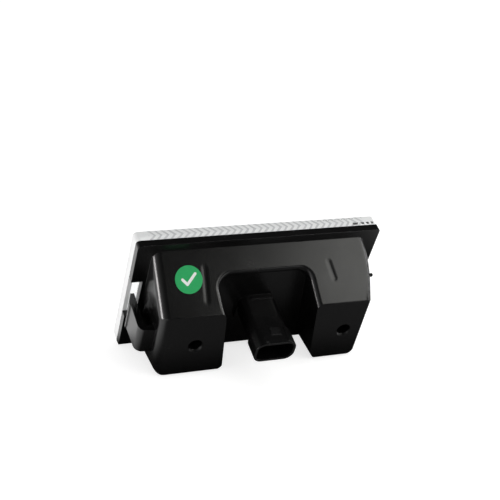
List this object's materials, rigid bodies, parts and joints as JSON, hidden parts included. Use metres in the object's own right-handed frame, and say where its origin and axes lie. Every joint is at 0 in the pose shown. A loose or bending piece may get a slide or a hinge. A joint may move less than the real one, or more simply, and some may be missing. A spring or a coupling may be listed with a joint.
{
  "type": "number plate lamp",
  "caption": "Snap-in number plate lamp: black moulded housing with a wedge back, two legs and a socket, clear prismatic lens, LED board inside.",
  "frame": {"origin": "middle of the lens's outer face", "axes": "+X along the lamp, away from the snap arm; +Y across it, towards the upper edge of the sloped face; +Z out of the back, along the connector socket"},
  "size_m": [0.093, 0.053, 0.0385],
  "materials": {
    "black_plastic": "satin moulded black",
    "clear_lens": "clear polished plastic with prisms",
    "seal": "matt",
    "board": "white solder mask",
    "led_body": "white cup with yellow filling",
    "chip_black": "matt",
    "chip_tan": "ceramic",
    "terminal_metal": "tinned",
    "sticker_green": "printed film"
  },
  "bodies": {
    "root": {"housing": "black_plastic", "lens": "clear_lens", "lens_seal": "seal", "circuit_board": "board", "led_1": "led_body", "led_2": "led_body", "led_3": "led_body", "led_4": "led_body", "led_5": "led_body", "led_6": "led_body", "led_7": "led_body", "led_8": "led_body", "led_9": "led_body", "led_10": "led_body", "led_11": "led_body", "led_12": "led_body", "led_13": "led_body", "led_14": "led_body", "led_15": "led_body", "led_16": "led_body", "led_17": "led_body", "led_18": "led_body", "resistor_1": "chip_black", "resistor_2": "chip_black", "resistor_3": "chip_black", "diode": "chip_black", "capacitor": "chip_tan", "terminal_1": "terminal_metal", "terminal_2": "terminal_metal", "sticker": "sticker_green"}
  },
  "joints": []
}
